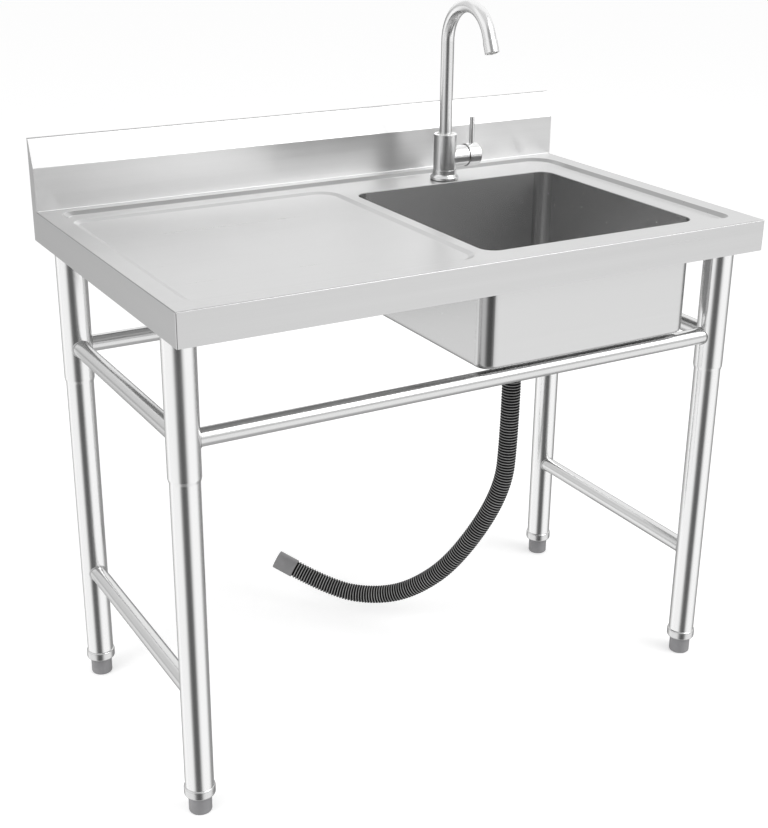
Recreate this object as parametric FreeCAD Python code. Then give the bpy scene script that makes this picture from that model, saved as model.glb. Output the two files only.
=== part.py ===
import FreeCAD, Part
import math
import os

# Free-standing stainless steel kitchen sink unit, in millimetres.
# X runs along the unit (the basin is at +X), Y runs from the front to the backsplash, Z is up.
# The origin is on the floor, below the middle of the worktop.

# ---------------------------------------------------------------- worktop
unit_width = 1000.0
unit_depth = 600.0
unit_height = 930.0           # floor to the top of the backsplash
worktop_height = 815.0
apron_height = 50.0
sheet = 1.2                   # gauge of the worktop, caps and basin
fold_radius = 1.8
hem_height = 10.0             # lower edge of the apron, folded back on itself
backsplash_thickness = 22.0
backsplash_slope_height = 45.0
backsplash_crown = 4.0        # level strip along the top edge

# pressed drainboard and run-off channel
border = 30.0                 # flat border outside the pressings
field_depth = 3.0
field_wall = 9.0              # width of the sloping wall of a pressing
field_fillet = 5.0            # radius at the foot of the wall
field_basin_gap = 19.0        # edge of the drainboard to the basin
field_corners = [25.0, 35.0, 40.0, 20.0]      # front left, front right, rear right, rear left
ridge_width = 8.0             # flat ridge between the drainboard and the rear channel
channel_depth = 5.5
channel_wall = 10.0
channel_fillet = 7.0
pressing_lip = 2.0            # rounding of a pressing's upper edge
channel_inset_front = 89.0    # edges of the rear channel, from the back of the unit
channel_inset_rear = 38.0
side_channel_width = 42.0
channel_outer_corner = 45.0
channel_inner_corner = 18.0
channel_end_flat = 1.0        # half of what stays straight at the channel's rounded ends

# ---------------------------------------------------------------- basin
basin_length = 396.0
basin_side_margin = 99.0      # basin opening to the right end, the front and the back of the unit
basin_front_margin = 49.0
basin_rear_margin = 145.0
basin_depth = 186.0
basin_corner = 25.0
basin_bottom_radius = 8.0
basin_flange = 6.0            # welded rim under the worktop
mouth_chamfer = 0.8
drain_dish_depth = 2.5
drain_dish_slope = 2.5        # width of the dish's sloping edge

# ---------------------------------------------------------------- frame under the top
channel_beam_width = 44.0
channel_beam_height = 25.0
beam_gauge = 1.5
stiffener_width = 60.0
stiffener_height = 20.0
stiffener_inset = 136.0       # stiffener axis to the front or rear edge of the drainboard
leg_inset_x = 28.0            # leg axis to the end of the unit
leg_inset_front = 66.0
leg_inset_rear = 91.0
upper_leg_radius = 24.0
lower_leg_radius = 22.0
leg_gauge = 1.2
leg_joint_height = 550.0
leg_roll = 5.0                # rolled-in end of the upper tube
leg_overlap = 60.0            # length of the lower tube inside the upper one
stop_thickness = 3.0
stop_radius = 17.0
socket_plate = 2.5
socket_plate_length = 60.0
socket_length = 45.0
socket_gauge = 2.0
tube_fit = 0.1                # radial clearance of one tube in another
rail_radius = 13.5
rail_gauge = 1.0
upper_rail_rise = 59.0        # upper rails above the legs' joint
lower_rail_height = 203.0
weld_gap = 0.05
screw_drop = 27.8             # leg screws below the top of the legs
screw_radius = 3.0
screw_length = 9.0
screw_head_radius = 5.2
screw_head = 3.0
screw_socket_radius = 1.6

# ---------------------------------------------------------------- feet
foot_radius = 17.75
foot_height = 29.7
foot_edge = 3.0
stud_radius = 8.0
stud_length = 45.0
running_fit = 0.05
collar_radius = 24.0
collar_height = 17.0
collar_edge = 4.0
spigot_length = 25.0
seat_gap = 0.3                # between faces of pieces that move past each other

# ---------------------------------------------------------------- faucet
faucet_setback = 117.0        # faucet axis to the back of the unit
tap_hole_radius = 16.5
gasket_height = 1.0
gasket_inset = 1.0            # gasket inside the rim of the flange
flange_radius = 25.0
flange_edge = 4.0
flange_height = 17.0
flange_lip = 1.1
flange_edges = [0.5, 0.8, 0.3]      # rounding of the foot, the rim and the lip
body_radius = 20.0
body_height = 75.0
body_chamfer = 1.0
barrel_height = 38.5          # barrel axis above the worktop
barrel_radius = 18.0
barrel_length = 41.0
chamber_radius = 15.0
chamber_depth = 27.0
waterway_radius = 6.0
cartridge_radius = 13.5
cartridge_start = 17.0
cartridge_end = 35.5
nut_radius = 15.5
nut_opening = 9.0
cartridge_wall = 2.5
cartridge_floor = 7.0
carrier_end = 35.2
slot_half_height = 6.0
stem_half = 3.0
stem_start = 25.5
stem_end = 57.5
lever_pivot = 30.0
pin_radius = 1.5
pin_half_length = 9.0
cap_gap = 1.0
cap_radius = 20.0
cap_bore = 18.5
cap_skirt = 8.0
cap_length = 24.0
cap_chamfer = 1.5
lever_offset = 55.0           # lever rod from the faucet axis
lever_radius = 4.5
lever_root = 10.0
lever_top = 66.0
lever_chamfer = 0.6
grub_radius = 2.5
grub_length = 12.0
spout_radius = 11.0
spout_gauge = 1.2
arch_height = 237.0           # start of the arch above the worktop
arch_radius = 64.0
arch_turn = 157.5
spout_straight = 11.0
spout_collar_radius = 13.5
spout_collar = 3.7
bush_recess = 0.5
oring_radius = 0.9
oring_steps = [7.0, 14.0]     # seal grooves below the top of the bush
groove_height = 2.2
aerator_radius = 11.8
aerator_length = 20.0
aerator_bore = 9.0
aerator_spigot = 8.0
aerator_recess = 1.0
aerator_edges = [0.8, 0.8, 0.4]     # rounding of the joint, the outer and the inner lip
aerator_insert_wall = 1.5
aerator_insert_length = 9.0
jet_radius = 0.8
jet_circles = [0.0, 3.0, 6.0]
jet_counts = [1, 6, 12]       # jets on each circle
shank_radius = 14.0
shank_engagement = 14.0
shank_drop = 55.0
port_radius = 4.45
port_depth = 20.0
port_offset = 6.5
port_waterway = 2.5
washer_radius = 20.0
washer_thickness = 2.5
nut_outer_radius = 19.5
nut_thickness = 10.0
nut_sides = 6
nut_corner = 1.0

# ---------------------------------------------------------------- drain
strainer_flange_radius = 56.0
strainer_flange = 1.5
strainer_cup_radius = 44.0
strainer_cup_corner = 4.0
drain_hole_clearance = 1.0
strainer_cup_depth = 38.0
strainer_gauge = 1.2
strainer_slots = 6
strainer_slot_radius = 6.0
strainer_slot_circle = 26.0
drain_gasket_radius = 55.0
drain_gasket_height = 3.0
drain_flange = 4.0
bowl_clearance = 2.0          # around the strainer cup
bowl_wall = 3.0
bowl_depth = 34.0
bowl_cone = 14.0
bowl_edge = 3.0               # rounding of the bowl's lower edges, outside
bowl_inner_edge = 2.0
bowl_flange_edge = 1.0
outlet_radius = 20.0
outlet_bore = 17.0
outlet_length = 35.0
boss_radius = 7.0
boss_length = 22.0
boss_ribs = 3
rib_thickness = 3.0
drain_screw_radius = 3.0
drain_screw_length = 15.0
drain_screw_head_radius = 5.5
drain_screw_head = 4.0
drain_screw_edge = 1.5
basket_clearance = 1.8        # inside the strainer cup
basket_rim = 3.5
basket_corner = 5.0
basket_gauge = 0.8
basket_depth = 27.0
basket_hole_radius = 2.0
basket_hole_circles = [14.0, 22.0, 30.0]
basket_hole_counts = [6, 10, 14]        # holes on each circle
basket_post_radius = 3.0
knob_radius = 9.0
knob_height = 5.0
knob_edges = [1.0, 2.0]       # rounding below and above
knob_rise = 2.0               # post above the basket's rim
hose_nut_radius = 26.0
hose_nut_height = 25.0
hose_nut_lip = 3.0
hose_nut_chamfer = 1.0
hose_nut_flutes = 12
flute_radius = 2.5
flute_offset = 1.0            # flute centres outside the nut's rim
cuff_flange_radius = 19.8
cuff_flange = 3.0
cuff_radius = 17.0
top_cuff_end = 522.0          # height of the top cuff's lower end
hose_bore = 12.5
hose_crest = 16.5
hose_valley = 14.6
hose_rib_pitch = 5.2
hose_rib_shape = [(0.15, hose_valley), (0.35, hose_crest), (0.75, hose_crest), (0.95, hose_valley)]
end_cuff_length = 39.0
end_cuff_bore = 13.0
end_cuff_edge = 1.0
hose_turn = 135.0             # way the hose swings out from under the drain, from +X
hose_route = [(0, top_cuff_end), (0, 410), (7, 298), (88, 151), (165, 81), (237, 54), (321, 55),
              (397, 88)]      # reach from the drain's axis and height of the hose's bends
bend_share = 0.45             # of the shorter run beside a bend, taken up by its arc

# ---------------------------------------------------------------- derived places
end_x = unit_width / 2
front_y = -unit_depth / 2
rear_y = unit_depth / 2
splash_y = rear_y - backsplash_thickness
splash_bend = unit_height - backsplash_slope_height
apron_bottom = worktop_height - apron_height
under_top = worktop_height - sheet
inside_x = end_x - sheet
inside_y = rear_y - sheet
overshoot = 2.0

basin_x = end_x - basin_side_margin - basin_length / 2
basin_width = unit_depth - basin_front_margin - basin_rear_margin
basin_y = front_y + basin_front_margin + basin_width / 2
faucet_y = rear_y - faucet_setback
channel_front_edge = rear_y - channel_inset_front
channel_rear_edge = rear_y - channel_inset_rear
field_left = -end_x + border
field_right = basin_x - basin_length / 2 - field_basin_gap
field_front = front_y + border
field_rear = channel_front_edge - ridge_width

leg_x = end_x - leg_inset_x
leg_front_y = front_y + leg_inset_front
leg_rear_y = rear_y - leg_inset_rear
leg_places = {
    "front_left": (-leg_x, leg_front_y),
    "front_right": (leg_x, leg_front_y),
    "rear_left": (-leg_x, leg_rear_y),
    "rear_right": (leg_x, leg_rear_y),
}
beam_top = worktop_height - channel_depth - sheet
beam_bottom = beam_top - channel_beam_height
leg_top = beam_bottom - socket_plate
screw_height = leg_top - screw_drop
stop_height = leg_joint_height + leg_overlap
upper_rail_height = leg_joint_height + upper_rail_rise
collar_bottom = foot_height + seat_gap
leg_bottom = collar_bottom + collar_height

deck = worktop_height
body_bottom = deck + gasket_height + flange_edge
body_top = body_bottom + body_height
chamber_floor = body_top - chamber_depth
barrel_z = deck + barrel_height
cap_start = barrel_length + cap_gap
arch_start = deck + arch_height

basin_floor = worktop_height - basin_depth
drain_dish_radius = strainer_flange_radius + seat_gap + drain_dish_slope
drain_hole_radius = strainer_cup_radius + drain_hole_clearance
bowl_radius = strainer_cup_radius + bowl_clearance + bowl_wall
basket_radius = strainer_cup_radius - strainer_gauge - basket_clearance
dish_top = basin_floor - drain_dish_depth
dish_bottom = dish_top - sheet
drain_body_top = dish_bottom - drain_gasket_height
strainer_top = dish_top + strainer_flange
strainer_floor = strainer_top - strainer_cup_depth
strainer_bottom = strainer_floor - strainer_gauge
bowl_bottom = drain_body_top - bowl_depth
outlet_top = bowl_bottom - bowl_cone
outlet_bottom = outlet_top - outlet_length
hose_nut_bottom = outlet_bottom - cuff_flange - hose_nut_lip

UP = FreeCAD.Vector(0, 0, 1)
ALONG = FreeCAD.Vector(1, 0, 0)
BACK = FreeCAD.Vector(0, 1, 0)
HOSE_WAY = FreeCAD.Rotation(UP, hose_turn).multVec(ALONG)


# ---------------------------------------------------------------- shapes
def point(x, y, z):
    return FreeCAD.Vector(x, y, z)


def block(low, high):
    size = [b - a for a, b in zip(low, high)]
    return Part.makeBox(size[0], size[1], size[2], point(*low))


def rod(radius, start, end):
    line = end - start
    return Part.makeCylinder(radius, line.Length, start, line)


def upright(radius, low, high, x=0.0, y=0.0):
    return rod(radius, point(x, y, low), point(x, y, high))


def pipe(outer, inner, low, high, x=0.0, y=0.0):
    return upright(outer, low, high, x, y).cut(upright(inner, low, high, x, y))


def corner_frame(points, index):
    """Corner, unit directions to its two neighbours, and their angle."""
    before, here, after = points[index - 1], points[index], points[(index + 1) % len(points)]
    back = FreeCAD.Vector(before[0] - here[0], before[1] - here[1], 0).normalize()
    ahead = FreeCAD.Vector(after[0] - here[0], after[1] - here[1], 0).normalize()
    return FreeCAD.Vector(here[0], here[1], 0), back, ahead, back.getAngle(ahead)


def outline(points, radii, place):
    """Closed wire through flat points, each corner rounded, put in space by place(u, v)."""
    arcs = []
    for index, radius in enumerate(radii):
        corner, back, ahead, angle = corner_frame(points, index)
        if radius <= 0:
            arcs.append([corner])
            continue
        reach = radius / math.tan(angle / 2)
        bisector = (back + ahead).normalize()
        centre = corner + bisector * (radius / math.sin(angle / 2))
        arcs.append([corner + back * reach, centre - bisector * radius, corner + ahead * reach])
    edges = []
    for index, arc in enumerate(arcs):
        here = [place(p.x, p.y) for p in arc]
        if len(here) == 3:
            edges.append(Part.Arc(*here).toShape())
        following = place(arcs[(index + 1) % len(arcs)][0].x, arcs[(index + 1) % len(arcs)][0].y)
        if (following - here[-1]).Length > 1e-6:
            edges.append(Part.LineSegment(here[-1], following).toShape())
    return Part.Wire(edges)


def shrink(points, radii, distance):
    """The outline moved inwards by a distance; points run anticlockwise."""
    moved, rounded = [], []
    for index, radius in enumerate(radii):
        corner, back, ahead, angle = corner_frame(points, index)
        inward_before = FreeCAD.Vector(back.y, -back.x, 0)
        inward_after = FreeCAD.Vector(-ahead.y, ahead.x, 0)
        shift = (inward_before + inward_after) * (distance / (1 + inward_before.dot(inward_after)))
        convex = (ahead.x * back.y - ahead.y * back.x) > 0
        moved.append((corner.x + shift.x, corner.y + shift.y))
        rounded.append(max(radius - distance, 0.0) if convex else radius + distance)
    return moved, rounded


def rectangle(x_low, x_high, y_low, y_high):
    return [(x_low, y_low), (x_high, y_low), (x_high, y_high), (x_low, y_high)]


def around(radius, index, count, x=0.0, y=0.0):
    """Place number index of count evenly spaced on a circle about (x, y)."""
    angle = 2 * math.pi * index / count
    return x + radius * math.cos(angle), y + radius * math.sin(angle)


def plate(points, radii, low, high):
    wire = outline(points, radii, lambda u, v: point(u, v, low))
    return Part.Face(wire).extrude(UP * (high - low))


def tapered(shape_low, shape_high, low, high):
    """Solid between two outlines of like corners at two heights."""
    wires = [outline(shape[0], shape[1], lambda u, v, z=z: point(u, v, z))
             for shape, z in ((shape_low, low), (shape_high, high))]
    return Part.makeLoft(wires, True, True)


def turned(profile, x=0.0, y=0.0, radii=None):
    """Solid of revolution about a vertical axis, from points (radius, height)."""
    rounding = radii or [0.0] * len(profile)
    wire = outline(profile, rounding, lambda u, v: point(x + u, y, v))
    return Part.Face(wire).revolve(point(x, y, 0), UP, 360)


def edge_cutter(radius, start, end, inward):
    """What rounding takes off a square edge; inward is the sum of its two inward directions."""
    spans = [sorted(pair) for pair in zip(start - inward * overshoot, end + inward * radius)]
    bar = block([span[0] for span in spans], [span[1] for span in spans])
    return bar.cut(rod(radius, start + inward * radius, end + inward * radius))


def direction(vector):
    unit = FreeCAD.Vector(vector)
    return unit.normalize()


# ---------------------------------------------------------------- worktop
def pressing(points, radii, depth, wall, fillet, drop=0.0):
    """A recess with sloping walls, cut from above the worktop; drop lowers the whole form."""
    top = worktop_height - drop
    if drop:
        form = tapered(shrink(points, radii, wall), (points, radii), top - depth, top)
    else:
        spread = shrink(points, radii, -overshoot * wall / depth)
        form = tapered(shrink(points, radii, wall), spread, top - depth, top + overshoot)
    wall_feet = [e for e in form.Edges if e.BoundBox.ZMax < top - depth + 1e-3]
    return form.makeFillet(fillet + drop, wall_feet)


def drainboard_form(drop=0.0):
    points = rectangle(field_left, field_right, field_front, field_rear)
    return pressing(points, field_corners, field_depth, field_wall, field_fillet, drop)


def channel_form(drop=0.0):
    left = field_left
    right = end_x - border
    inner = right - side_channel_width
    front = field_front + field_wall
    end_round = side_channel_width / 2 - channel_end_flat
    left_round = (channel_rear_edge - channel_front_edge) / 2 - channel_end_flat
    points = [(left, channel_front_edge), (inner, channel_front_edge), (inner, front),
              (right, front), (right, channel_rear_edge), (left, channel_rear_edge)]
    radii = [left_round, channel_inner_corner, end_round, end_round, channel_outer_corner, left_round]
    return pressing(points, radii, channel_depth, channel_wall, channel_fillet, drop)


def basin_outline(growth=0.0):
    half_x = basin_length / 2
    half_y = basin_width / 2
    points = rectangle(basin_x - half_x, basin_x + half_x, basin_y - half_y, basin_y + half_y)
    return shrink(points, [basin_corner] * 4, -growth)


def backsplash_profile():
    """Rear edge of the section, from the foot of the rear panel to the foot of the backsplash."""
    points = [(rear_y, apron_bottom), (rear_y, unit_height), (rear_y - backsplash_crown, unit_height),
              (splash_y, splash_bend)]
    return points, [0.0, fold_radius, fold_radius, fold_radius]


def folded_shell():
    """Worktop with its aprons and the boxed backsplash, open below, before the pressings."""
    rear_points, rear_radii = backsplash_profile()
    top_points = [(splash_y, worktop_height), (front_y, worktop_height)]
    profile = [(front_y, apron_bottom)] + rear_points + top_points
    radii = [0.0] + rear_radii + [fold_radius, fold_radius]
    outer = Part.Face(outline(profile, radii, lambda u, v: point(-end_x, u, v)))
    inner_profile, inner_radii = shrink(profile, radii, sheet)
    for index in (0, 1):
        inner_profile[index] = (inner_profile[index][0], apron_bottom - overshoot)
    inner = Part.Face(outline(inner_profile, inner_radii, lambda u, v: point(-inside_x, u, v)))
    shell = outer.extrude(ALONG * unit_width).cut(inner.extrude(ALONG * 2 * inside_x))
    for side in (-1, 1):
        cap_low = min(side * inside_x, side * end_x)
        shell = shell.cut(block((cap_low, splash_y, apron_bottom), (cap_low + sheet, rear_y, unit_height)))
        x = side * end_x
        foot = point(x, front_y, apron_bottom - overshoot)
        head = point(x, front_y, worktop_height + overshoot)
        shell = shell.cut(edge_cutter(fold_radius, foot, head, BACK - ALONG * side))
        front = point(x, front_y - overshoot, worktop_height)
        back = point(x, splash_y, worktop_height)
        shell = shell.cut(edge_cutter(fold_radius, front, back, -UP - ALONG * side))
    return shell


def hems():
    """The apron's lower edge, folded flat against its inner face."""
    high = apron_bottom + hem_height
    front = block((-inside_x, front_y + sheet, apron_bottom), (inside_x, front_y + 2 * sheet, high))
    left = block((-inside_x, front_y + sheet, apron_bottom), (-inside_x + sheet, splash_y, high))
    right = block((inside_x - sheet, front_y + sheet, apron_bottom), (inside_x, splash_y, high))
    return front.fuse([left, right])


def is_pressing_lip(edge):
    """Whether an edge lies in the worktop's surface, inside its folds."""
    box = edge.BoundBox
    level = abs(box.ZMin - worktop_height) < 1e-3 and abs(box.ZMax - worktop_height) < 1e-3
    across = box.XMax > field_left - border / 2 and box.XMin < end_x - border / 2
    along = box.YMax > field_front - border / 2 and box.YMin < channel_rear_edge + fold_radius
    return level and across and along


def unit_sheet():
    """The whole folded, pressed and pierced sheet."""
    shell = folded_shell().fuse(hems())
    shell = shell.fuse([drainboard_form(sheet), channel_form(sheet)])
    shell = shell.cut(drainboard_form()).cut(channel_form())
    shell = shell.makeFillet(pressing_lip, [edge for edge in shell.Edges if is_pressing_lip(edge)])
    opening = plate(*basin_outline(), under_top - overshoot, worktop_height + overshoot)
    chamfer = tapered(basin_outline(), basin_outline(mouth_chamfer),
                      worktop_height - mouth_chamfer, worktop_height)
    tap_hole = upright(tap_hole_radius, under_top - overshoot, worktop_height + overshoot, basin_x, faucet_y)
    return shell.cut(opening).cut(chamfer).cut(tap_hole).removeSplitter()


def behind_fold():
    """The space behind the fold line at the foot of the backsplash."""
    return block((-unit_width, splash_y, 0.0), (unit_width, unit_depth, 2 * unit_height))


def worktop():
    return unit_sheet().cut(behind_fold())


def backsplash():
    return unit_sheet().common(behind_fold())


def backsplash_cap(side):
    """End plate of the backsplash."""
    rear_points, rear_radii = backsplash_profile()
    start = min(side * inside_x, side * end_x)
    wire = outline([(splash_y, apron_bottom)] + rear_points, [0.0] + rear_radii,
                   lambda u, v: point(start, u, v))
    return Part.Face(wire).extrude(ALONG * sheet)


# ---------------------------------------------------------------- basin
def bowl_block(growth, low, high):
    """Rounded block with rounded lower edges."""
    solid = plate(*basin_outline(growth), low, high)
    lower = [e for e in solid.Edges if abs(e.BoundBox.ZMax - low) < 1e-3]
    return solid.makeFillet(basin_bottom_radius + growth, lower)


def basin():
    outer = bowl_block(sheet, basin_floor - sheet, under_top)
    flange = plate(*basin_outline(basin_flange), under_top - sheet, under_top)
    lower_dish = Part.makeCone(drain_dish_radius + sheet - drain_dish_slope, drain_dish_radius + sheet,
                               drain_dish_depth, point(basin_x, basin_y, dish_bottom))
    outer = outer.fuse([flange, lower_dish])
    inner = bowl_block(0.0, basin_floor, under_top + basin_bottom_radius)
    upper_dish = Part.makeCone(drain_dish_radius - drain_dish_slope, drain_dish_radius,
                               drain_dish_depth, point(basin_x, basin_y, dish_top))
    hole = upright(drain_hole_radius, dish_bottom - overshoot, basin_floor, basin_x, basin_y)
    return outer.cut(inner).cut(upper_dish).cut(hole)


# ---------------------------------------------------------------- frame under the top
def leg_channel(side):
    """Channel section across the unit that carries a pair of legs, welded at both ends."""
    half = channel_beam_width / 2
    low = (side * leg_x - half, -inside_y, beam_bottom)
    high = (side * leg_x + half, inside_y, beam_top)
    hollow_low = (low[0] + beam_gauge, low[1], low[2] + beam_gauge)
    hollow_high = (high[0] - beam_gauge, high[1], high[2])
    return block(low, high).cut(block(hollow_low, hollow_high))


def stiffener(row_y):
    """Channel section under the drainboard, from the left leg channel to the basin."""
    top = worktop_height - field_depth - sheet
    left = -leg_x + channel_beam_width / 2
    low = (left, row_y - stiffener_width / 2, top - stiffener_height)
    high = (field_right, row_y + stiffener_width / 2, top)
    hollow_low = (low[0], low[1] + beam_gauge, low[2] + beam_gauge)
    hollow_high = (high[0], high[1] - beam_gauge, high[2])
    return block(low, high).cut(block(hollow_low, hollow_high))


def leg_socket(x, y):
    """Plate and stub tube that the upper leg slides over."""
    half_x, half_y = channel_beam_width / 2, socket_plate_length / 2
    base = block((x - half_x, y - half_y, leg_top), (x + half_x, y + half_y, beam_bottom))
    radius = upper_leg_radius - leg_gauge - tube_fit
    stub = pipe(radius, radius - socket_gauge, leg_top - socket_length, leg_top, x, y)
    hole = rod(screw_radius, point(x, y, screw_height), point(x, y + upper_leg_radius, screw_height))
    return base.fuse(stub).cut(hole)


def leg_screw(x, y):
    """Button-head screw that locks the leg on its socket, from behind."""
    seat = y + upper_leg_radius
    shank = rod(screw_radius - running_fit, point(x, seat - screw_length, screw_height),
                point(x, seat, screw_height))
    head = rod(screw_head_radius, point(x, seat, screw_height), point(x, seat + screw_head, screw_height))
    rim = [e for e in head.Edges if e.BoundBox.YMin > seat + screw_head / 2 and e.Closed]
    head = head.makeFillet(screw_head / 2, rim)
    key = rod(screw_socket_radius, point(x, seat + screw_head / 2, screw_height),
              point(x, seat + screw_head, screw_height))
    return shank.fuse(head).cut(key)


def upper_leg(x, y):
    """Upper tube with an inner stop ring and a rolled-in lower end."""
    outer, inner = upper_leg_radius, upper_leg_radius - leg_gauge
    mouth = lower_leg_radius + running_fit
    roll_top = leg_joint_height + leg_roll
    profile = [(mouth, leg_joint_height), (outer - leg_gauge, leg_joint_height), (outer, roll_top),
               (outer, leg_top), (inner, leg_top), (inner, stop_height + stop_thickness),
               (stop_radius, stop_height + stop_thickness), (stop_radius, stop_height),
               (inner, stop_height), (inner, roll_top), (mouth, leg_joint_height + leg_roll / 2)]
    tube = turned(profile, x, y)
    hole = rod(screw_radius, point(x, y, screw_height), point(x, y + 2 * outer, screw_height))
    return tube.cut(hole)


def lower_leg(x, y):
    return pipe(lower_leg_radius, lower_leg_radius - leg_gauge, leg_bottom, stop_height, x, y)


def rail(first, second, height, leg_radius):
    """Cross tube between two legs, with each end cut to the leg's round."""
    start = point(first[0], first[1], height)
    end = point(second[0], second[1], height)
    tube = rod(rail_radius, start, end).cut(rod(rail_radius - rail_gauge, start, end))
    for x, y in (first, second):
        low = height - 2 * rail_radius
        tube = tube.cut(upright(leg_radius + weld_gap, low, low + 4 * rail_radius, x, y))
    return tube


# ---------------------------------------------------------------- feet
def foot_insert(x, y):
    """Bulged collar with a threaded bore, pushed into the end of the leg."""
    spigot = lower_leg_radius - leg_gauge - running_fit
    bore = stud_radius + running_fit
    profile = [(bore, collar_bottom), (collar_radius, collar_bottom), (collar_radius, leg_bottom),
               (spigot, leg_bottom), (spigot, leg_bottom + spigot_length), (bore, leg_bottom + spigot_length)]
    return turned(profile, x, y, [0.0, collar_edge, collar_edge, 0.0, 0.0, 0.0])


def foot(x, y):
    """Plastic foot with its threaded stud, screwed up to the collar."""
    profile = [(0.0, 0.0), (foot_radius, 0.0), (foot_radius, foot_height), (stud_radius, foot_height),
               (stud_radius, foot_height + stud_length), (0.0, foot_height + stud_length)]
    return turned(profile, x, y, [0.0, foot_edge, foot_edge / 3, 0.0, foot_edge / 3, 0.0])


# ---------------------------------------------------------------- faucet
def faucet_gasket():
    return pipe(flange_radius - gasket_inset, tap_hole_radius, deck, deck + gasket_height, basin_x, faucet_y)


def faucet_flange():
    """Flared ring that covers the tap hole and the foot of the body."""
    low = deck + gasket_height
    bore = body_radius + tube_fit
    top = low + flange_height
    profile = [(shank_radius + tube_fit, low), (flange_radius, low), (flange_radius, low + flange_edge),
               (bore + flange_lip, low + flange_height / 2), (bore + flange_lip, top), (bore, top),
               (bore, low + flange_edge), (shank_radius + tube_fit, low + flange_edge)]
    foot_edge_radius, rim_edge, lip_edge = flange_edges
    flare = flange_height / 4
    edges = [0.0, foot_edge_radius, rim_edge, flare, lip_edge, 0.0, 0.0, 0.0]
    return turned(profile, basin_x, faucet_y, edges)


def faucet_body():
    """Upright body with a side barrel for the cartridge and bores for the spout and shank."""
    x, y = basin_x, faucet_y
    upper = turned([(0.0, body_bottom), (body_radius, body_bottom), (body_radius, body_top - body_chamfer),
                    (body_radius - body_chamfer, body_top), (0.0, body_top)], x, y)
    axis = point(x, y, barrel_z)
    barrel = rod(barrel_radius, axis, axis + ALONG * barrel_length)
    body = upper.fuse(barrel)
    bores = [upright(chamber_radius, chamber_floor, body_top, x, y),
             upright(waterway_radius, body_bottom, body_top, x, y),
             upright(shank_radius, body_bottom, body_bottom + shank_engagement, x, y),
             rod(waterway_radius, axis, axis + ALONG * cartridge_start),
             rod(cartridge_radius, axis + ALONG * cartridge_start, axis + ALONG * barrel_length),
             rod(nut_radius, axis + ALONG * cartridge_end, axis + ALONG * barrel_length)]
    return body.cut(bores)


def barrel_rod(radius, start, end):
    """Cylinder on the barrel's axis, by distances from the faucet's axis."""
    axis = point(basin_x, faucet_y, barrel_z)
    return rod(radius, axis + ALONG * start, axis + ALONG * end)


def barrel_block(start, end, half_y, half_z):
    return block((basin_x + start, faucet_y - half_y, barrel_z - half_z),
                 (basin_x + end, faucet_y + half_y, barrel_z + half_z))


def lever_axis(radius):
    """Cylinder along the lift axis, as long as the pivot pin."""
    centre = point(basin_x + lever_pivot, faucet_y, barrel_z)
    return rod(radius, centre - BACK * pin_half_length, centre + BACK * pin_half_length)


def cartridge_housing():
    outer = barrel_rod(cartridge_radius - running_fit, cartridge_start, cartridge_end)
    cavity = barrel_rod(cartridge_radius - cartridge_wall, cartridge_start + cartridge_floor, cartridge_end)
    ports = [barrel_rod(port_waterway, cartridge_start, cartridge_end).translate(offset)
             for offset in (BACK * waterway_radius / 2, BACK * -waterway_radius / 2)]
    return outer.cut(cavity).cut(ports)


def cartridge_carrier():
    """Disc that turns in the housing and carries the stem on a cross pin."""
    radius = cartridge_radius - cartridge_wall - running_fit
    disc = barrel_rod(radius, cartridge_start + cartridge_floor + seat_gap, carrier_end)
    slot_half_width = stem_half + tube_fit
    slot = barrel_block(cartridge_start + cartridge_floor, cartridge_end, slot_half_width, slot_half_height)
    return disc.cut(slot).cut(lever_axis(pin_radius))


def stem_pin():
    return lever_axis(pin_radius)


def cartridge_stem():
    bar = barrel_block(stem_start, stem_end, stem_half, stem_half)
    return bar.cut(lever_axis(pin_radius + running_fit))


def cartridge_nut():
    return barrel_rod(nut_radius - running_fit, cartridge_end, barrel_length).cut(
        barrel_rod(nut_opening, cartridge_end, barrel_length))


def handle_cap():
    """Cup that closes the barrel, with a skirt that swings past the barrel's end."""
    end = cap_start + cap_length
    cap = barrel_rod(cap_radius, cap_start, end)
    rim = [e for e in cap.Edges if e.Closed and e.BoundBox.XMin > basin_x + end - 1e-3]
    cap = cap.makeChamfer(cap_chamfer, rim)
    skirt = barrel_rod(cap_bore, cap_start, cap_start + cap_skirt)
    square = barrel_block(cap_start, stem_end, stem_half + weld_gap, stem_half + weld_gap)
    foot_point = point(basin_x + lever_offset, faucet_y, barrel_z)
    lever_hole = rod(lever_radius, foot_point + UP * lever_root, foot_point + UP * 2 * cap_radius)
    grub_hole = rod(grub_radius, foot_point + BACK * stem_half, foot_point + BACK * 2 * cap_radius)
    return cap.cut([skirt, square, lever_hole, grub_hole])


def handle_lever():
    foot_point = point(basin_x + lever_offset, faucet_y, barrel_z)
    lever = rod(lever_radius, foot_point + UP * lever_root, foot_point + UP * lever_top)
    top = [e for e in lever.Edges if e.Closed and e.BoundBox.ZMin > barrel_z + lever_top - 1e-3]
    return lever.makeChamfer(lever_chamfer, top)


def handle_screw():
    """Grub screw that holds the cap on the stem, from behind."""
    start = point(basin_x + lever_offset, faucet_y + stem_half + weld_gap, barrel_z)
    screw = rod(grub_radius - running_fit, start, start + BACK * grub_length)
    key = rod(grub_radius / 2, start + BACK * (grub_length - grub_radius), start + BACK * grub_length)
    return screw.cut(key)


def bent_tube(radius, low):
    """Solid along the spout's centre line: upright, arch, then a short straight end."""
    x, y = basin_x, faucet_y
    start = point(x, y, arch_start)
    centre = point(x, y - arch_radius, arch_start)
    section = Part.Face(Part.Wire(Part.Circle(start, UP, radius).toShape()))
    arch = section.revolve(centre, ALONG, arch_turn)
    place = spout_end()
    end = place.Base - place.Rotation.multVec(UP) * spout_straight
    return upright(radius, low, arch_start, x, y).fuse([arch, rod(radius, end, place.Base)])


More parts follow.
